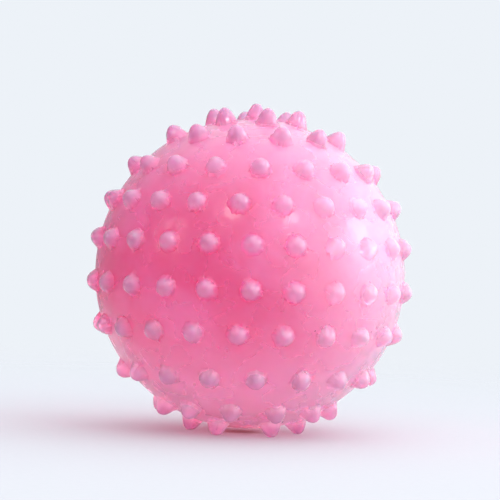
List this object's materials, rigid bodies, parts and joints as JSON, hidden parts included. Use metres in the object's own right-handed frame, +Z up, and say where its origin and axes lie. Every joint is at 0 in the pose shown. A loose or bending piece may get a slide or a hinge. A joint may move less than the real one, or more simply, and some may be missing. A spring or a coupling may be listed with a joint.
{
  "type": "knobbed juggling ball",
  "caption": "Soft hollow translucent vinyl ball covered in rings of round nubs, closed by a push-in air valve plug; for juggling, catching and hand exercise.",
  "frame": {"origin": "on the surface the ball stands on, straight below the ball's centre and level with the six nub tips of the lowest ring", "axes": "+Z up, the mould axis that the rings of nubs run round; -Y is the front; the valve faces straight down, inside the lowest ring of nubs"},
  "size_m": [0.0683, 0.0682, 0.0688],
  "materials": {
    "skin_vinyl": "gloss",
    "sleeve_vinyl": "satin",
    "plug_plastic": "satin"
  },
  "bodies": {
    "ball": {"skin": "skin_vinyl", "valve_sleeve": "sleeve_vinyl"},
    "plug": {"valve_plug": "plug_plastic"}
  },
  "joints": [
    {"name": "valve_plug_pull", "type": "slide", "parent": "ball", "child": "plug", "axis": [0, 0, -1], "range_m": [0, 0.01]}
  ]
}
